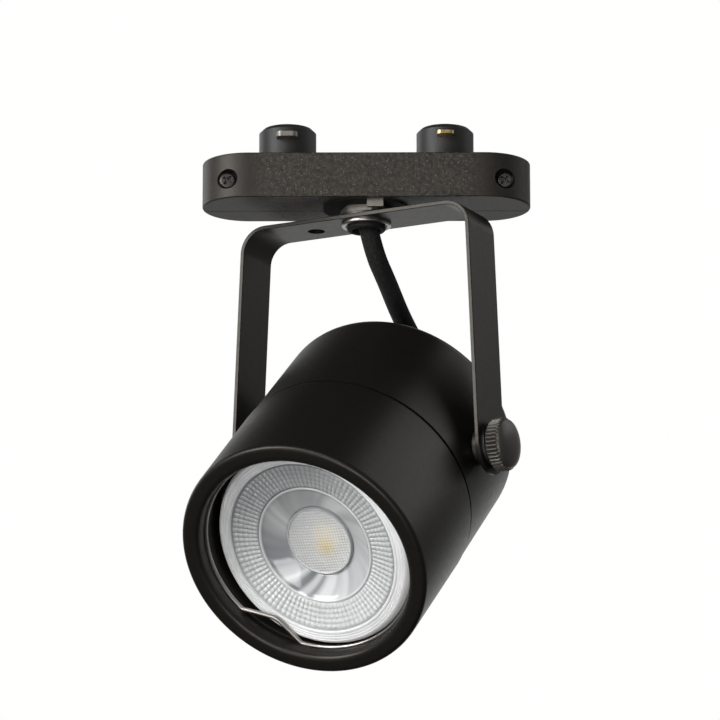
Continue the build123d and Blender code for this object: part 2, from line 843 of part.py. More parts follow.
for side, sign in (("left", -1), ("right", 1)):
    line_frame = knob_frame(sign)
    face_frame = arm_frame(sign)

    with BuildPart() as pivot_insert:
        with BuildSketch(line_frame.offset(24.0)):
            Circle(insert_radius)
        extrude(amount=insert_face - 24.0)
        with BuildSketch(line_frame.offset(30.05)):
            Circle(4.4)
        extrude(amount=insert_face - 30.05)
        with BuildSketch(line_frame.offset(24.0)):
            Circle(2.05)
        extrude(amount=insert_face - 24.0, mode=Mode.SUBTRACT)
    save(pivot_insert, f"pivot_insert_{side}")

    pivot_spacer = ring(face_frame, -spacer_thickness, 0, 5.2, arm_hole_radius)
    save(pivot_spacer, f"pivot_spacer_{side}")
    arm_washer = ring(
        face_frame, strip_thickness, strip_thickness + washer_thickness, 5.4, arm_hole_radius
    )
    save(arm_washer, f"arm_washer_{side}")

    with BuildPart() as knob_stud:
        with BuildSketch(line_frame.offset(25.0)):
            Circle(2.0)
        extrude(amount=stud_end - 25.0)
    save(knob_stud, f"knob_stud_{side}")

    with BuildPart() as knob:
        with BuildSketch(line_frame.offset(knob_back)):
            Circle(knob_core_radius)
        extrude(amount=knob_top - knob_back)
        fillet(knob.faces().sort_by(spin(line_frame))[-1].edges(), knob_top - knob_shoulder)
        with BuildSketch(line_frame.offset(knob_back + 0.3)):
            with PolarLocations(knob_core_radius, knob_rib_count):
                Rectangle(0.8, 0.45)
        extrude(amount=knob_shoulder - knob_back - 0.4)
        with BuildSketch(line_frame.offset(knob_back)):
            Circle(2.0)
        extrude(amount=stud_end - knob_back, mode=Mode.SUBTRACT)
    save(knob, f"knob_{side}")
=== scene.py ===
import json
import math

import bmesh
import bpy
from mathutils import Matrix, Vector


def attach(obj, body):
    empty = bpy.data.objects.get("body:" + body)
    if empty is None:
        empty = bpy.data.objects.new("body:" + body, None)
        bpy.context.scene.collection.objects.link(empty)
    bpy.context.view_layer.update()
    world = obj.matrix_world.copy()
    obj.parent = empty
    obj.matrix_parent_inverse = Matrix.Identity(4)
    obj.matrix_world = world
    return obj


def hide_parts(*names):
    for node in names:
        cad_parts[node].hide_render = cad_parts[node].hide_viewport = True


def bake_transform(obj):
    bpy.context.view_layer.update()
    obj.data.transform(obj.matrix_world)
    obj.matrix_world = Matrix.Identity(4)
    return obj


# Track spotlight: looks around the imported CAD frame. Metres, +Z up.

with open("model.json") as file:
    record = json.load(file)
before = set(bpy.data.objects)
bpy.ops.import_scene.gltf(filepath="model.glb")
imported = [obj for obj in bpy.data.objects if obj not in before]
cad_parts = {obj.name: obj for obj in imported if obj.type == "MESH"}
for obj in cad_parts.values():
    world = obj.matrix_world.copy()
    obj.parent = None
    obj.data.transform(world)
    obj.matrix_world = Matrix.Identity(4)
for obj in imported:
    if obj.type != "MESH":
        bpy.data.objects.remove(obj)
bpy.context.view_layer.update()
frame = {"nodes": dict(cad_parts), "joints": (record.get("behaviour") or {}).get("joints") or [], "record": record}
scene = bpy.context.scene
mm = 0.001

# ---- Places taken from the frame and from the driving angles ----------------

tilt_rest = math.radians(40.8)      # optical axis below the horizontal
axis_offset = 2.05 * mm             # pivot line to the can's axis
lens_place = 38.5 * mm              # lens edge along the can's axis
lamp_lean = (-0.081, 0.10)          # the lamp sits slightly crooked in the can

tilt_joint = next(j for j in frame["joints"] if j["name"] == "head_tilt")
pivot = Vector(tilt_joint["pos_m"])
across = Vector(tilt_joint["axis"]).normalized()
up = Vector((0, 0, 1))
ahead = up.cross(across)
optical_axis = -ahead * math.cos(tilt_rest) - up * math.sin(tilt_rest)
head_y = optical_axis.cross(across)


def axes(origin, x, y, z):
    """A matrix that puts local coordinates at an origin with the given axes."""
    rotation = Matrix((x, y, z)).transposed().to_4x4()
    return Matrix.Translation(origin) @ rotation


head = axes(pivot - head_y * axis_offset, across, head_y, optical_axis)
lamp_z = (optical_axis + across * lamp_lean[0] + head_y * lamp_lean[1]).normalized()
lamp_x = (across - lamp_z * across.dot(lamp_z)).normalized()
lamp = axes(head @ Vector((0, 0, lens_place)), lamp_x, lamp_z.cross(lamp_x), lamp_z)


def knob_axes(side):
    """The pivot line with z pointing out of the given side of the head."""
    z = across * side
    return axes(pivot, optical_axis, z.cross(optical_axis), z)


# ---- Camera -----------------------------------------------------------------

camera_place = Vector((0.0053, -1.1214, -0.3290))
camera_pitch = 0.2451
camera_yaw = -0.0061
camera_lens_mm = 241.86

forward = Vector((
    math.sin(camera_yaw) * math.cos(camera_pitch),
    math.cos(camera_yaw) * math.cos(camera_pitch),
    math.sin(camera_pitch),
))
right = Vector((math.cos(camera_yaw), -math.sin(camera_yaw), 0))
camera = bpy.data.objects.new("camera", bpy.data.cameras.new("camera"))
camera.matrix_world = axes(camera_place, right, right.cross(forward), -forward)
camera.data.lens = camera_lens_mm
camera.data.sensor_width = 36
camera.data.clip_start = 0.01
camera.data.clip_end = 50
scene.collection.objects.link(camera)
scene.camera = camera

# ---- Material helpers ---------------------------------------------------------


class Look:
    """A material with a Principled shader and short calls for its nodes."""

    def __init__(self, name, **sockets):
        self.material = bpy.data.materials.new(name)
        self.material.use_nodes = True
        self.nodes = self.material.node_tree.nodes
        self.links = self.material.node_tree.links
        self.shader = self.nodes["Principled BSDF"]
        for socket, value in sockets.items():
            self.shader.inputs[socket.replace("_", " ")].default_value = value
        self.place = self.nodes.new("ShaderNodeTexCoord").outputs["Object"]

    def node(self, kind, **inputs):
        made = self.nodes.new(kind)
        for socket, value in inputs.items():
            target = made.inputs[socket.replace("_", " ")]
            if isinstance(value, bpy.types.NodeSocket):
                self.links.new(value, target)
            else:
                target.default_value = value
        return made

    def noise(self, scale, detail=3.0, roughness=0.55):
        made = self.node(
            "ShaderNodeTexNoise",
            Vector=self.place,
            Scale=scale,
            Detail=detail,
            Roughness=roughness,
        )
        return made.outputs["Fac"]

    def specks(self, scale, share, size):
        """Small round dots in a share of random cells, 0 between them and up to 1 inside."""
        made = self.node("ShaderNodeTexVoronoi", Vector=self.place, Scale=scale)
        chance = self.node("ShaderNodeSeparateColor", Color=made.outputs["Color"]).outputs["Red"]
        chosen = self.between(chance, 1 - share, 1.0)
        return self.maths("MULTIPLY", chosen, self.between(made.outputs["Distance"], size, size / 3))

    def attribute(self, name):
        made = self.nodes.new("ShaderNodeAttribute")
        made.attribute_name = name
        return made.outputs["Fac"]

    def between(self, value, low, high, to_low=0.0, to_high=1.0):
        """A value carried from one range of numbers to another, and kept inside it."""
        made = self.nodes.new("ShaderNodeMapRange")
        self.links.new(value, made.inputs["Value"])
        numbers = {"From Min": low, "From Max": high, "To Min": to_low, "To Max": to_high}
        for socket, number in numbers.items():
            made.inputs[socket].default_value = number
        return made.outputs["Result"]

    def maths(self, operation, first, second=0.0):
        made = self.nodes.new("ShaderNodeMath")
        made.operation = operation
        for index, value in enumerate((first, second)):
            if isinstance(value, bpy.types.NodeSocket):
                self.links.new(value, made.inputs[index])
            else:
                made.inputs[index].default_value = value
        return made.outputs["Value"]

    def colour(self, factor, *stops):
        """Base colour from a ramp of (position, (r, g, b)) stops."""
        ramp = self.nodes.new("ShaderNodeValToRGB")
        self.links.new(factor, ramp.inputs["Fac"])
        elements = ramp.color_ramp.elements
        for index, (position, rgb) in enumerate(stops):
            element = elements[index] if index < 2 else elements.new(position)
            element.position = position
            element.color = (*rgb, 1)
        self.links.new(ramp.outputs["Color"], self.shader.inputs["Base Color"])

    def rough(self, factor, low, high):
        self.links.new(self.between(factor, 0, 1, low, high), self.shader.inputs["Roughness"])

    def bump(self, *layers):
        """Stacked bumps, each given as (height, depth in metres)."""
        normal = None
        for height, depth in layers:
            made = self.node("ShaderNodeBump", Height=height, Distance=depth, Strength=1.0)
            if normal is not None:
                self.links.new(normal, made.inputs["Normal"])
            normal = made.outputs["Normal"]
        self.links.new(normal, self.shader.inputs["Normal"])


warm_gloss = (1.0, 0.93, 0.84, 1)   # tint of the reflections on dark plastic and paint


def adapter_look():
    """Moulded nylon: spark-eroded speckle on the straight part, smoother at the round ends."""
    straight_half = 28.3 * mm
    fade_length = 5 * mm
    end_strength = 0.12
    look = Look("adapter_plastic", Specular_IOR_Level=0.45, Specular_Tint=warm_gloss)
    along = look.nodes.new("ShaderNodeSeparateXYZ")
    look.links.new(look.place, along.inputs["Vector"])
    from_middle = look.maths("ABSOLUTE", along.outputs["X"])
    straight = look.between(from_middle, straight_half, straight_half - fade_length)
    amount = look.between(straight, 0, 1, end_strength, 1.0)
    dots = look.maths("ADD", look.specks(1500, 0.42, 0.40), look.specks(2600, 0.45, 0.42))
    pitted = look.noise(1050, detail=3, roughness=0.65)
    cloudy = look.between(pitted, 0.35, 0.68, 0.0, 0.24)
    tone = look.maths("ADD", cloudy, look.maths("MULTIPLY", dots, 0.85))
    strong = look.maths("MULTIPLY", tone, amount)
    dark, pale = (0.0145, 0.0130, 0.0112), (0.135, 0.121, 0.105)
    look.colour(strong, (0.0, dark), (1.0, pale))
    look.rough(look.noise(900), 0.44, 0.54)
    pit_height = look.maths("MULTIPLY", pitted, amount)
    dot_height = look.maths("MULTIPLY", dots, amount)
    look.bump((pit_height, 0.14 * mm), (dot_height, 0.03 * mm))
    return look.material


def moulded_look(name, rgb, roughness, grain_depth=0.00002):
    """Smooth satin moulded plastic with faint flow marks."""
    light = tuple(min(1.0, c * 1.35) for c in rgb)
    look = Look(name, Specular_IOR_Level=0.45)
    flow = look.noise(160, detail=4)
    look.colour(flow, (0.3, rgb), (0.8, light))
    look.rough(look.noise(700), roughness - 0.05, roughness + 0.07)
    look.bump((look.noise(2600, detail=1), grain_depth))
    return look.material


def paint_look():
    """Satin powder coat: very fine orange peel under a finer grain."""
    rgb = (0.0072, 0.0066, 0.0056)
    look = Look("black_paint", Specular_IOR_Level=0.38, Specular_Tint=warm_gloss)
    peel = look.noise(620, detail=2)
    grain = look.noise(3800, detail=2)
    light = tuple(c * 1.5 for c in rgb)
    look.colour(look.noise(2200, detail=3), (0.35, rgb), (0.75, light))
    look.rough(peel, 0.33, 0.43)
    look.bump((peel, 0.000018), (grain, 0.000012))
    return look.material


def knob_look():
    """Moulded knob: painted shade darkens the grooves, a painted highlight lightens the crests, satin dome."""
    look = Look("knob_plastic", Specular_IOR_Level=0.6, Specular_Tint=warm_gloss)
    # Colours for painted shade in the grooves, the plain knob and a painted highlight on the crests.
    dark, plain, crest_highlight = (0.004, 0.0037, 0.0034), (0.042, 0.039, 0.0355), (0.085, 0.080, 0.073)
    look.colour(look.attribute("shade"), (0.0, dark), (1.0, crest_highlight), (0.5, plain))
    look.rough(look.noise(700), 0.30, 0.40)
    look.bump((look.noise(2600, detail=1), 0.00001))
    return look.material


def metal_look(name, rgb, roughness, scratch_depth=0.000006):
    """Plated or plain metal with rubbed scratches and slight tarnish."""
    look = Look(name, Metallic=1.0)
    scratches = look.noise(900, detail=5, roughness=0.7)
    tarnish = look.noise(240, detail=4)
    dark = tuple(c * 0.72 for c in rgb)
    look.colour(tarnish, (0.3, dark), (0.6, rgb))
    look.rough(scratches, roughness - 0.06, roughness + 0.14)
    look.bump((scratches, scratch_depth))
    return look.material


def rubber_look():
    """Dull black rubber with a faint grain."""
    look = Look("black_rubber", Specular_IOR_Level=0.22)
    look.colour(look.noise(300, detail=4), (0.3, (0.008, 0.008, 0.008)), (0.8, (0.015, 0.014, 0.013)))
    look.rough(look.noise(1500), 0.62, 0.82)
    look.bump((look.noise(2500, detail=2), 0.00003))
    return look.material


def sleeve_look():
    """Black braided glass-fibre sleeve: fine fibres with a dry sheen and a few pale fibre ends."""
    look = Look("cable_sleeve", Specular_IOR_Level=0.12, Sheen_Weight=0.06, Sheen_Roughness=0.5)
    fibres = look.noise(5200, detail=3, roughness=0.7)
    ends = look.specks(2300, 0.22, 0.36)
    tone = look.maths("ADD", look.between(fibres, 0.4, 0.75, 0.0, 0.35), look.maths("MULTIPLY", ends, 0.65))
    look.colour(tone, (0.0, (0.0035, 0.0035, 0.0035)), (1.0, (0.085, 0.082, 0.078)))
    look.rough(look.noise(900), 0.70, 0.88)
    look.bump((fibres, 0.00006), (look.noise(11000, detail=1), 0.00003))
    return look.material


def lens_look(name, transmission, roughness, ior, dark, bright, with_painted_chip_glow=False):
    """Clear moulded polycarbonate; the "shade" attribute paints shade into grooves and paints reflections, between
    the dark and bright colours.
    """
    look = Look(
        name,
        Transmission_Weight=transmission,
        IOR=ior,
        Roughness=roughness,
        Coat_Weight=0.5,
        Coat_Roughness=0.08,
    )
    look.colour(look.attribute("shade"), (0.0, dark), (1.0, bright))
    # Painted light: the "glow" attribute multiplies in a painted yellow glow of the LED chip.
    if with_painted_chip_glow:
        target = look.shader.inputs["Base Color"]
        plain = target.links[0].from_socket
        glow = look.nodes.new("ShaderNodeMix")
        glow.data_type = "RGBA"
        glow.blend_type = "MULTIPLY"
        look.links.new(look.attribute("glow"), glow.inputs["Factor"])
        look.links.new(plain, glow.inputs["A"])
        glow.inputs["B"].default_value = (0.98, 0.84, 0.56, 1)
        look.links.new(glow.outputs["Result"], target)
    look.bump((look.noise(700, detail=2), 0.000006))
    return look.material


def ceramic_look():
    """Unglazed cream ceramic with small pits."""
    look = Look("ceramic", Specular_IOR_Level=0.3)
    pits = look.noise(2200, detail=3)
    look.colour(look.noise(420, detail=4), (0.3, (0.74, 0.70, 0.62)), (0.75, (0.88, 0.85, 0.79)))
    look.rough(pits, 0.70, 0.88)
    look.bump((pits, 0.00004))
    return look.material


def board_look(name, rgb):
    """Solder mask over copper tracks, with a faint weave."""
    look = Look(name, Specular_IOR_Level=0.5)
    tracks = look.nodes.new("ShaderNodeTexBrick")
    look.links.new(look.place, tracks.inputs["Vector"])
    tracks.inputs["Scale"].default_value = 260
    tracks.inputs["Mortar Size"].default_value = 0.06
    light = tuple(min(1.0, c * 1.12) for c in rgb)
    look.colour(tracks.outputs["Fac"], (0.0, rgb), (1.0, light))
    look.rough(look.noise(900), 0.30, 0.44)
    look.bump((tracks.outputs["Fac"], 0.00003))
    return look.material


def phosphor_look():
    """Yellow phosphor of the LED chip, with a weak glow of its own."""
    look = Look("led_yellow", Roughness=0.35, Emission_Strength=0.35, Emission_Color=(1.0, 0.75, 0.2, 1))
    look.colour(look.noise(2600, detail=3), (0.3, (0.90, 0.66, 0.10)), (0.7, (1.0, 0.80, 0.22)))
    look.bump((look.noise(5200), 0.00003))
    return look.material


steel_dark = (0.10, 0.095, 0.09)
looks = {
    "adapter_plastic": adapter_look(),
    "lock_plastic": moulded_look("lock_plastic", (0.016, 0.0155, 0.015), 0.48),
    "black_paint": paint_look(),
    "nickel": metal_look("nickel", (0.50, 0.475, 0.44), 0.30),
    "zinc_steel": metal_look("zinc_steel", (0.30, 0.28, 0.25), 0.46),
    "black_screw": metal_look("black_screw", steel_dark, 0.42, scratch_depth=0.00002),
    "knob_plastic": knob_look(),
    "black_rubber": rubber_look(),
    "cable_sleeve": sleeve_look(),
    "brass": metal_look("brass", (0.80, 0.60, 0.29), 0.28),
    "lamp_white": moulded_look("lamp_white", (0.84, 0.845, 0.84), 0.34, 0.00001),
    "lamp_lens": lens_look("lamp_lens", 0.35, 0.14, 1.45, (0.36, 0.37, 0.39), (0.93, 0.945, 0.94)),
    "led_yellow": phosphor_look(),
    "board": board_look("board", (0.80, 0.82, 0.84)),
    "driver_board": board_look("driver_board", (0.05, 0.20, 0.09)),
    "ceramic": ceramic_look(),
    "lead_insulation": moulded_look("lead_insulation", (0.70, 0.69, 0.64), 0.5),
}

dish_clear = lens_look("lens_dish_clear", 0.30, 0.10, 1.45, (0.25, 0.26, 0.28), (0.95, 0.96, 0.96))
grid_clear = lens_look("lens_grid_clear", 0.30, 0.30, 1.25, (0.48, 0.49, 0.50), (0.97, 0.97, 0.96), True)

for part in frame["record"]["subparts"]:
    node = frame["nodes"][part["node"]]
    node.data.materials.clear()
    node.data.materials.append(looks[part["material_slot"]])

# ---- Mesh helpers -------------------------------------------------------------


def new_piece(name, points, faces, slot, body, matrix=None, shades=None, look=None):
    """A mesh piece with smooth shading that rides on a body."""
    mesh = bpy.data.meshes.new(name)
    mesh.from_pydata([tuple(p) for p in points], [], faces)
    if matrix is not None:
        mesh.transform(matrix)
    made = bmesh.new()
    made.from_mesh(mesh)
    bmesh.ops.recalc_face_normals(made, faces=made.faces)
    made.to_mesh(mesh)
    made.free()
    for polygon in mesh.polygons:
        polygon.use_smooth = True
    if shades is not None:
        mesh.attributes.new("shade", "FLOAT", "POINT").data.foreach_set("value", shades)
    mesh.materials.append(look or looks[slot])
    piece = bpy.data.objects.new(name, mesh)
    scene.collection.objects.link(piece)
    if body:
        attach(piece, body)
    return piece


def sharpen(piece, degrees):
    """Keeps edges crisp where two faces meet at more than an angle."""
    made = bmesh.new()
    made.from_mesh(piece.data)
    limit = math.radians(degrees)
    for edge in made.edges:
        if len(edge.link_faces) == 2 and edge.calc_face_angle() > limit:
            edge.smooth = False
    made.to_mesh(piece.data)
    made.free()


def grid_faces(rows, columns, close_rows=False, close_columns=False):
    """Quads over a grid of points stored row by row."""
    faces = []
    for i in range(rows if close_rows else rows - 1):
        for j in range(columns if close_columns else columns - 1):
            a = i * columns + j
            b = i * columns + (j + 1) % columns
            c = (i + 1) % rows * columns + (j + 1) % columns
            d = (i + 1) % rows * columns + j
            faces.append((a, b, c, d))
    return faces


def on_turn(radius, height, angle):
    """A point at a radius and height in mm and an angle about the z axis, in metres."""
    return (radius * math.cos(angle) * mm, radius * math.sin(angle) * mm, height * mm)


def turned(name, outline, slot, body, matrix, segments, shape=None, shade=None, look=None):
    """A turned piece from an outline of (radius, height) in mm; shape may change the radius."""
    shades = None if shade is None else []
    points = []
    for radius, height in outline:
        for step in range(segments):
            angle = 2 * math.pi * step / segments
            r, h = (radius, height) if shape is None else shape(radius, height, angle)
            points.append(on_turn(r, h, angle))
            if shade is not None:
                shades.append(shade(radius, height, angle))
    faces = grid_faces(len(outline), segments, close_rows=True, close_columns=True)
    return new_piece(name, points, faces, slot, body, matrix, shades, look)


def corner_curve(start, corner, end, steps):
    """Points from start to end along the curve that a corner pulls towards itself."""
    out = []
    for k in range(steps + 1):
        t = k / steps
        out.append(start * (1 - t) ** 2 + corner * 2 * t * (1 - t) + end * t**2)
    return out


def rounded(corners):
    """A closed outline of (radius, height, fillet) corners in mm, each rounded by its own fillet.

    A fillet takes up less than half of the shorter side next to it, whatever its number.
    """
    steps = 8
    most_of_side = 0.48
    out = []
    for i, (radius, height, fillet) in enumerate(corners):
        if fillet == 0:
            out.append((radius, height))
            continue
        here = Vector((radius, height))
        before = Vector(corners[i - 1][:2]) - here
        after = Vector(corners[(i + 1) % len(corners)][:2]) - here
        reach = min(fillet, before.length * most_of_side, after.length * most_of_side)
        start = here + before.normalized() * reach
        end = here + after.normalized() * reach
        out += [tuple(point) for point in corner_curve(start, here, end, steps)]
    return out


def tube_points(line, radius_at, sides):
    """Rings of points about a centreline, without twist; radius_at(length, angle) gives each radius."""
    tangents = []
    for i in range(len(line)):
        tangents.append((line[min(i + 1, len(line) - 1)] - line[max(i - 1, 0)]).normalized())
    normal = tangents[0].orthogonal().normalized()
    points = []
    run = 0.0
    for i, centre in enumerate(line):
        if i:
            run += (centre - line[i - 1]).length
            normal = (normal - tangents[i] * normal.dot(tangents[i])).normalized()
        other = tangents[i].cross(normal)
        for step in range(sides):
            angle = 2 * math.pi * step / sides
            radius = radius_at(run, angle)
            points.append(centre + (normal * math.cos(angle) + other * math.sin(angle)) * radius)
    return points


def tube(name, line, radius_at, sides, slot, body):
    """A closed tube with flat ends along a centreline in the row frame."""
    points = tube_points(line, radius_at, sides)
    faces = grid_faces(len(line), sides, close_columns=True)
    faces.append(tuple(range(sides)))
    faces.append(tuple(range(len(points) - sides, len(points))))
    return new_piece(name, points, faces, slot, body)


def evenly(line, step):
    """The same line with points at even spacing."""
    out = [line[0]]
    wanted = step
    for a, b in zip(line, line[1:]):
        length = (b - a).length
        while wanted <= length:
            out.append(a + (b - a) * wanted / length)
            wanted += step
        wanted -= length
    if (out[-1] - line[-1]).length < step / 3:
        out.pop()
    return out + [line[-1]]


# ---- Cable --------------------------------------------------------------------

cord_diameter = 4.7 * mm
gland_depth = -24.2 * mm    # the grommet's mouth along the can's axis
gland_approach = 11 * mm    # how far behind it the cable lines up with it
gland_point = head @ Vector((0, 0, gland_depth))
cord_route = [
    Vector((0.6, 0.0, -16.2)) * mm,
    Vector((2.0, 0.3, -22.4)) * mm,
    Vector((4.9, 5.6, -27.6)) * mm,
    Vector((8.3, 14.0, -34.3)) * mm,
    Vector((12.9, 24.4, -40.4)) * mm,
    head @ Vector((0, 0, gland_depth - gland_approach)),
    gland_point,
]


def spline_line(points):
    """Points along the smooth NURBS line of a route."""
    curve = bpy.data.curves.new("cable_route", "CURVE")
    curve.dimensions = "3D"
    spline = curve.splines.new("NURBS")
    spline.points.add(len(points) - 1)
    for target, point in zip(spline.points, points):
        target.co = (*point, 1)
    spline.order_u = 3
    spline.use_endpoint_u = True
    spline.resolution_u = 24
    holder = bpy.data.objects.new("cable_route", curve)
    scene.collection.objects.link(holder)
    mesh = bpy.data.meshes.new_from_object(holder)
    line = [v.co.copy() for v in mesh.vertices]
    bpy.data.objects.remove(holder)
    bpy.data.curves.remove(curve)
    bpy.data.meshes.remove(mesh)
    return line


def braid(run, angle):
    """Radius of the sleeve: two sets of fine strands that cross at an angle."""
    strands = 16
    lay = 21 * mm
    strand_height = 0.045 * mm
    inset = 0.03 * mm
    one = strands * (angle / (2 * math.pi) + run / lay)
    two = strands * (angle / (2 * math.pi) - run / lay)
    crossing = math.cos(2 * math.pi * one) * math.cos(2 * math.pi * two)
    return cord_diameter / 2 + strand_height * crossing - inset


braid_step = 0.18 * mm
braid_sides = 112
cable_line = evenly(spline_line(cord_route), braid_step)
cable = tube("braided_cable", cable_line, braid, braid_sides, "cable_sleeve", None)
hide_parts("lead_cable")
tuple(cord_route[1])
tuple(cord_route[5])
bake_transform(cable)
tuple(cord_route[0])

# ---- Knobs ----------------------------------------------------------------------

# Radii, and heights along the pivot line from the middle of the head, in mm
knob_ribs = 40
knob_core = 5.85
knob_back = 34.05
knob_bevel = 0.15
knob_shoulder = 37.2
knob_top = 39.0
stud_hole = 2.02
stud_hole_end = 36.25
pole = 0.001                # a pinhole instead of a point at the dome's middle


def knob(side, body):
    """Ribbed clamping knob with a smooth dome."""
    rib_height = 0.48
    rib_fade = 0.35
    rib_breadth = 0.8       # below 1 gives broad crests and narrow grooves
    dome_fullness = 0.8     # below 1 gives a dome fuller than an ellipse
    rib_steps = 14
    dome_steps = 20

    def fade(radius, height):
        rise = (height - knob_back - knob_bevel) / rib_fade
        fall = (knob_shoulder + knob_bevel - height) / rib_fade
        if radius < knob_core - 0.5:
            return 0.0
        return min(1.0, max(0.0, rise)) * min(1.0, max(0.0, fall))

    def wave(angle):
        return max(0.0, 0.5 + 0.5 * math.cos(knob_ribs * angle)) ** rib_breadth

    def ribbed(radius, height, angle):
        return radius + rib_height * fade(radius, height) * wave(angle), height

    # Painted shade in the grooves and a painted highlight on the crests, 0.5 where the ribs fade out.
    def groove_shade_and_crest_highlight(radius, height, angle):
        return 0.5 + (wave(angle) - 0.5) * fade(radius, height)

    rib_base = knob_back + knob_bevel
    outline = [(stud_hole, knob_back), (knob_core - 0.4, knob_back), (knob_core, rib_base)]
    for k in range(1, rib_steps + 1):
        outline.append((knob_core, rib_base + (knob_shoulder - knob_back) * k / rib_steps))
    dome_base = outline[-1][1]
    for k in range(1, dome_steps):
        t = k / dome_steps * math.pi / 2
        radius = knob_core * math.cos(t) ** dome_fullness
        outline.append((radius, dome_base + (knob_top - dome_base) * math.sin(t)))
    outline += [(pole, knob_top), (pole, stud_hole_end), (stud_hole, stud_hole_end)]
    name = "knob_left_ribbed" if side < 0 else "knob_right_ribbed"
    segments = knob_ribs * 12
    piece = turned(name, outline, "knob_plastic", body, knob_axes(side), segments, ribbed, groove_shade_and_crest_highlight)
    sharpen(piece, 50)
    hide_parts(body)


knob(-1, "knob_left")
knob(1, "knob_right")

# ---- Front tube of the can --------------------------------------------------------

# Radii, and places along the can's axis, in mm
can_radius = 30.2
spigot_radius = 28.4        # the step that slides into the rear cap
spigot_bore = 27.0
spigot_start = 4.0
tube_start = 12.7
tube_end = 44.2
cavity_radius = 28.2
mouth_radius = 25.8
shoulder_radius = 23.7      # the ledge behind the lamp's rim
shoulder_place = 30.4
ring_place = 40.0
ring_slot_radius = 26.5
ring_slot_half = 0.8
seam_fillet = 0.55
rim_fillet = 1.3
mouth_roll = 2.1
edge_fillet = 0.1
slot_fillet = 0.12


def front_tube():
    """Painted tube whose mouth is rolled over a soft inner edge."""
    outline = rounded([
        (spigot_bore, spigot_start, edge_fillet),
        (spigot_radius, spigot_start, edge_fillet),
        (spigot_radius, tube_start, 0),
        (can_radius, tube_start, seam_fillet),
        (can_radius, tube_end, rim_fillet),
        (mouth_radius, tube_end, mouth_roll),
        (mouth_radius, ring_place + ring_slot_half, slot_fillet),
        (ring_slot_radius, ring_place + ring_slot_half, 0),
        (ring_slot_radius, ring_place - ring_slot_half, 0),
        (mouth_radius, ring_place - ring_slot_half, slot_fillet),
        (mouth_radius, shoulder_place, 0),
        (shoulder_radius, shoulder_place, edge_fillet),
        (shoulder_radius, shoulder_place - 1.6, 0),
        (cavity_radius, shoulder_place - 3.2, 0),
        (cavity_radius, tube_start + 1.5, 0),
        (spigot_bore, tube_start, 0),
    ])
    piece = turned("painted_tube", outline, "black_paint", "head", head, 360)
    sharpen(piece, 30)
    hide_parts("front_tube")


front_tube()

# ---- Snap ring ------------------------------------------------------------------

ring_radius = 25.75
ring_wire = 0.55 * mm


def ring_line():
    """The wire's centreline: a round ring with a finger notch and a gap, in the head's frame."""
    notch_start = math.radians(-149.5)
    notch_tip = math.radians(-131)
    notch_end = math.radians(-113)
    gap_start = math.radians(45)
    gap_end = math.radians(55 - 360)
    tip_radius = 21.7
    long_steps = 90
    short_steps = 80
    bend = 1.3
    most_of_side = 0.45
    nearly_straight = math.radians(170)

    def at(radius, angle):
        return Vector((radius * math.cos(angle), radius * math.sin(angle), ring_place))

    long_sweep = notch_start - gap_end
    short_sweep = gap_start - notch_end
    corners = [at(ring_radius, gap_end + long_sweep * k / long_steps) for k in range(long_steps + 1)]
    corners.append(at(tip_radius, notch_tip))
    corners += [
        at(ring_radius, notch_end + short_sweep * k / short_steps) for k in range(short_steps + 1)
    ]
    out = [corners[0]]
    for a, b, c in zip(corners, corners[1:], corners[2:]):
        first = (a - b).normalized()
        last = (c - b).normalized()
        if first.angle(last) > nearly_straight:
            out.append(b)
            continue
        reach = min(bend, (a - b).length * most_of_side, (c - b).length * most_of_side)
        out += corner_curve(b + first * reach, b, b + last * reach, 6)
    out.append(corners[-1])
    return [head @ (p * mm) for p in out]


snap_ring = tube("wire_ring", ring_line(), lambda run, angle: ring_wire, 16, "nickel", "head")
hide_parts("snap_ring")
sharpen(snap_ring, 60)

# ---- Lamp -----------------------------------------------------------------------

# Radii, and heights above the lens's edge, in mm
lens_radius = 21.35
cone_start = -1.85          # the optic's front at the dish's edge
lens_cone_rise = 1.45       # from there it rises this much to the rim
prism_inner = 15.0
prism_outer = 20.8
prism_rows = 5
prism_columns = 96
dish_outer = 14.5
collimator_radius = 8.15


def lamp_bezel():
    """White rim with fine turned lines on its face."""
    outline = [(lens_radius, -2.4), (lens_radius, -0.25), (21.5, 0.0), (21.9, 0.02)]
    line_radii = (22.2, 22.9, 23.6)
    line_half = 0.12
    line_floor_half = 0.05
    line_depth = 0.13
    face_slope = 0.13
    for radius in line_radii:
        drop = -(radius - lens_radius) * face_slope
        outline += [
            (radius - line_half, drop),
            (radius - line_floor_half, drop - line_depth),
            (radius + line_floor_half, drop - line_depth),
            (radius + line_half, drop),
        ]
    outline += [(24.05, -0.42), (24.45, -0.75), (24.75, -1.25), (24.93, -1.8), (25.0, -2.4)]
    outline += [(25.0, -4.4), (24.8, -4.6), (22.6, -4.6), (22.6, -2.4)]
    piece = turned("lamp_rim", outline, "lamp_white", "head", lamp, 240)
    sharpen(piece, 40)
    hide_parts("lamp_bezel")


def pillow(radius, angle):
    """How far a point of the outer ring lies from its prism's edges: along the row, across it."""
    row = (radius - prism_inner) / (prism_outer - prism_inner) * prism_rows
    if not 0 <= row <= prism_rows:
        return 0.0, 0.0
    u = 2 * (row - math.floor(row)) - 1
    column = angle / (2 * math.pi) * prism_columns
    v = 2 * (column - math.floor(column)) - 1
    return 1 - v * v, 1 - u * u


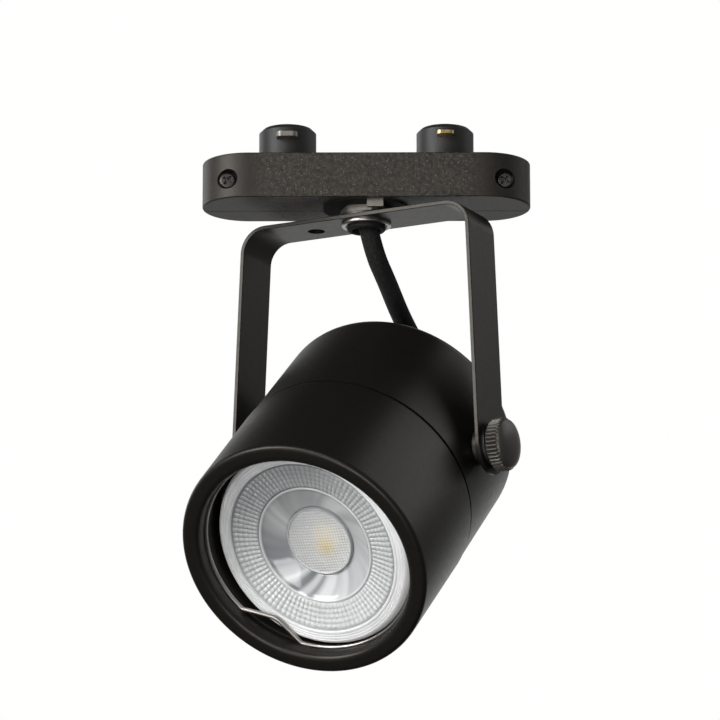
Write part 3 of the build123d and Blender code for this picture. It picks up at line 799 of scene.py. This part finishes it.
def prism_shade(radius, angle, along, outward):
    """Painted shade in the prism grooves: darker grooves and tone on the shaded side, lighter on the lit side with
    a beaded outer row, and a painted shadow towards 25 degrees.
    """
    shaded_side = max(0.0, math.cos(angle - math.radians(132))) ** 1.5
    lit_side = max(0.0, math.cos(angle - math.radians(235))) ** 0.8
    outer_row = 1.0 if radius > prism_outer - (prism_outer - prism_inner) / prism_rows else 0.0
    column_groove = (0.20 + 0.42 * shaded_side - 0.14 * lit_side * (1 - outer_row)) * (1 - along**0.55)
    row_groove = (0.22 - 0.10 * shaded_side - 0.08 * lit_side) * (1 - outward**0.5)
    shadowed = 0.16 * max(0.0, math.cos(angle - math.radians(25)))
    return max(0.0, 0.90 - 0.22 * shaded_side - shadowed + 0.10 * lit_side - column_groove - row_groove)


def lens_prisms():
    """Outer ring of the optic: rows of small pillow prisms on a shallow cone."""
    row_steps = 8
    column_steps = 9
    segments = prism_columns * column_steps
    steps = prism_rows * row_steps
    seam_shift = 0.01       # keeps the points off the exact edges between two prisms
    row_crown = 0.26
    column_crown = 0.16
    sink = 0.1
    radii = [dish_outer + 0.15, prism_inner - 0.05]
    radii += [prism_inner + (prism_outer - prism_inner) * k / steps for k in range(steps + 1)]
    radii += [prism_outer + 0.06, 21.05, 21.3]
    slope = lens_cone_rise / (lens_radius - dish_outer)
    angles = [2 * math.pi * (step + seam_shift) / segments for step in range(segments)]
    points = []
    shades = []
    for radius in radii:
        cone = cone_start + (radius - dish_outer) * slope
        for angle in angles:
            along, outward = pillow(radius, angle)
            height = cone + row_crown * along + column_crown * outward - sink
            points.append(on_turn(radius, height, angle))
            shades.append(prism_shade(radius, angle, along, outward))
    back = [(21.3, -2.3), (14.7, -4.1)]
    for radius, height in back:
        points += [on_turn(radius, height, angle) for angle in angles]
        shades += [1.0] * segments
    faces = grid_faces(len(radii) + len(back), segments, close_rows=True, close_columns=True)
    return new_piece("lens_prisms", points, faces, "lamp_lens", "head", lamp, shades)


# Painted reflections on the dish over the reflector, bright and dark patches: (angle, half width in degrees,
# change)
painted_reflection_patches = (
    (198, 27, -0.46), (160, 5, 0.10), (146, 4, 0.26), (128, 8, -0.10), (84, 16, -0.06),
    (62, 13, 0.36), (38, 6, -0.16), (5, 24, -0.08), (-48, 5, -0.16), (-60, 6, 0.20),
    (-83, 8, 0.36), (-97, 3, -0.40), (-105, 3, 0.10), (-115, 6, -0.62), (-127, 3, 0.34),
)


def painted_reflection_tone(radius, angle):
    """Painted reflections: how bright the dish over the moulded reflector is painted at a point, from the patches
    and fine lines.
    """
    swirl = angle + 0.05 * (radius - collimator_radius)
    tone = 0.66             # between the patches
    for middle, half_width, change in painted_reflection_patches:
        away = (math.degrees(swirl) - middle + 180) % 360 - 180
        tone += change * math.exp(-((away / half_width) ** 4))
    fine = math.sin(23 * swirl + 1.9 * math.sin(5 * swirl)) * math.sin(7 * swirl + 0.8)
    edge = min(1.0, max(0.0, (radius - collimator_radius) / 5.5))
    return min(1.0, max(0.0, tone + 0.10 * fine * edge))


def lens_dish():
    """Smooth clear cone between the prisms and the collimator, with a raised edge."""
    outline = [
        (14.7, -4.1), (14.7, -2.0), (14.62, -1.72), (14.4, -1.66), (14.15, -1.78), (14.0, -2.1),
        (13.3, -2.5), (12.6, -2.9), (11.9, -3.25), (11.2, -3.6), (10.6, -3.85), (10.1, -4.1),
        (9.3, -4.4), (8.7, -4.6), (8.62, -4.9), (9.0, -6.6), (9.4, -6.8),
    ]

    # Painted reflections inside the raised edge; the raised edge itself is plain.
    def shade(radius, height, angle):
        return 1.0 if radius > 14.05 else painted_reflection_tone(radius, angle)

    turned("lens_dish", outline, "lamp_lens", "head", lamp, 720, shade=shade, look=dish_clear)


def lens_collimator():
    """Round centre of the optic: a square grid of small pillow lenses inside a rim."""
    cell = 0.69
    samples = 7
    step = cell / samples
    count = int(collimator_radius / step) + 1
    # Painted light: the chip's yellow glow painted on the grid around this place.
    glow_place = (1.5, -1.5)
    glow_spread = 1.5
    edge_gap = 0.12
    crown_top = -3.75
    crown_drop = 0.55
    pillow_height = 0.14
    sink = 0.1
    index = {}
    points = []
    shades = []
    glows = []
    for i in range(-count, count + 1):
        for j in range(-count, count + 1):
            x, y = i * step, j * step
            if math.hypot(x, y) > collimator_radius - edge_gap:
                continue
            u = 2 * ((x / cell) % 1) - 1
            v = 2 * ((y / cell) % 1) - 1
            crown = crown_top - crown_drop * (math.hypot(x, y) / collimator_radius) ** 2
            index[i, j] = len(points)
            height = crown + pillow_height * (2 - u * u - v * v) - sink
            points.append((x * mm, y * mm, height * mm))
            # Painted shade: darker towards one side of the grid and along the seams between the pillows.
            side_shade = 0.80 + 0.22 * (0.55 * x - 0.85 * y) / collimator_radius
            shades.append(side_shade * (0.30 + 0.70 * ((1 - u**4) * (1 - v**4)) ** 0.5))
            away = math.hypot(x - glow_place[0], y - glow_place[1])
            glows.append(math.exp(-0.5 * (away / glow_spread) ** 2))
    faces = []
    for i, j in index:
        corners = [(i, j), (i + 1, j), (i + 1, j + 1), (i, j + 1)]
        if all(c in index for c in corners):
            faces.append(tuple(index[c] for c in corners))
    grid = new_piece("lens_grid", points, faces, "lamp_lens", "head", lamp, shades, grid_clear)
    grid.data.attributes.new("glow", "FLOAT", "POINT").data.foreach_set("value", glows)
    rim = [
        (7.9, -4.3), (7.97, -4.0), (8.15, -3.86), (8.4, -3.95), (8.55, -4.25),
        (8.95, -6.9), (7.95, -6.9),
    ]

    def rim_shade(radius, height, angle):
        return 0.85 if radius < 8.3 else 0.15

    turned("lens_rim", rim, "lamp_lens", "head", lamp, 160, shade=rim_shade)


lamp_bezel()
lens_dish()
lens_collimator()
optic = lens_prisms()
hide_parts("lamp_lens")

# ---- Stage and light --------------------------------------------------------------

floor_mesh = bpy.data.meshes.new("floor")
floor_half = 6.0
floor_level = -0.95
floor_mesh.from_pydata(
    [(x * floor_half, y * floor_half, floor_level) for x, y in ((-1, -1), (1, -1), (1, 1), (-1, 1))],
    [],
    [(0, 1, 2, 3)],
)
floor = bpy.data.objects.new("floor", floor_mesh)
scene.collection.objects.link(floor)
floor_look = Look("floor", Base_Color=(0, 0, 0, 1), Emission_Strength=0.965, Specular_IOR_Level=0.0)
floor_look.shader.inputs["Emission Color"].default_value = (1.0, 0.995, 0.985, 1)
floor_mesh.materials.append(floor_look.material)
floor.visible_diffuse = False
floor.visible_glossy = False
floor.visible_transmission = False


light_aim = Vector((0, 0, -0.06))


def softbox(name, place, size, radiance):
    """A rectangular light that faces the object, with the given radiance."""
    light = bpy.data.lights.new(name, "AREA")
    light.shape = "RECTANGLE"
    light.size, light.size_y = size
    light.energy = radiance * math.pi * size[0] * size[1]
    holder = bpy.data.objects.new(name, light)
    holder.location = place
    holder.rotation_euler = (light_aim - Vector(place)).to_track_quat("-Z", "Y").to_euler()
    scene.collection.objects.link(holder)


softbox("key", (-0.84, -0.60, 0.20), (0.60, 0.55), 8.6)
softbox("front", (-0.36, -1.00, 0.28), (0.20, 0.30), 8.0)
softbox("side", (0.85, 0.28, 0.68), (0.9, 0.9), 0.95)
softbox("lens_fill", (-0.26, -0.88, -0.50), (0.5, 0.5), 5.0)
softbox("rear_left", (-0.90, 0.75, 0.22), (0.5, 0.5), 2.5)


class Sky:
    """World nodes: white behind the object to the camera, a dim studio to everything else."""

    def __init__(self):
        self.world = bpy.data.worlds.new("studio")
        self.world.use_nodes = True
        self.nodes = self.world.node_tree.nodes
        self.links = self.world.node_tree.links
        direction = self.nodes.new("ShaderNodeTexCoord").outputs["Generated"]
        self.direction = self.nodes.new("ShaderNodeSeparateXYZ")
        self.links.new(direction, self.direction.inputs["Vector"])

    def ramp(self, axis, start, end, low, high):
        """A soft step from low to high along one axis of the direction."""
        made = self.nodes.new("ShaderNodeMapRange")
        made.interpolation_type = "SMOOTHSTEP"
        self.links.new(self.direction.outputs[axis], made.inputs["Value"])
        numbers = {"From Min": start, "From Max": end, "To Min": low, "To Max": high}
        for socket, number in numbers.items():
            made.inputs[socket].default_value = number
        return made.outputs["Result"]

    def times(self, first, second):
        made = self.nodes.new("ShaderNodeMath")
        made.operation = "MULTIPLY"
        self.links.new(first, made.inputs[0])
        self.links.new(second, made.inputs[1])
        return made.outputs["Value"]

    def finish(self, studio):
        """The camera sees a plain white backdrop; the object is lit by the studio."""
        seen = self.nodes.new("ShaderNodeLightPath").outputs["Is Camera Ray"]
        strength = self.nodes.new("ShaderNodeMix")
        self.links.new(seen, strength.inputs["Factor"])
        self.links.new(studio, strength.inputs["A"])
        strength.inputs["B"].default_value = 1.0
        background = self.nodes["Background"]
        background.inputs["Color"].default_value = (1.0, 0.998, 0.995, 1)
        self.links.new(strength.outputs["Result"], background.inputs["Strength"])
        return self.world


sky = Sky()
backdrop = sky.ramp("Y", 0.70, 0.97, 0.22, 1.0)
darker_right = sky.ramp("X", 0.15, 0.60, 1.0, 0.75)
dark_above = sky.ramp("Z", 0.42, 0.85, 1.0, 0.12)
dark_below = sky.ramp("Z", -0.80, -0.10, 0.12, 1.0)
across_sky = sky.times(backdrop, darker_right)
scene.world = sky.finish(sky.times(across_sky, sky.times(dark_above, dark_below)))
scene.view_settings.view_transform = "Standard"
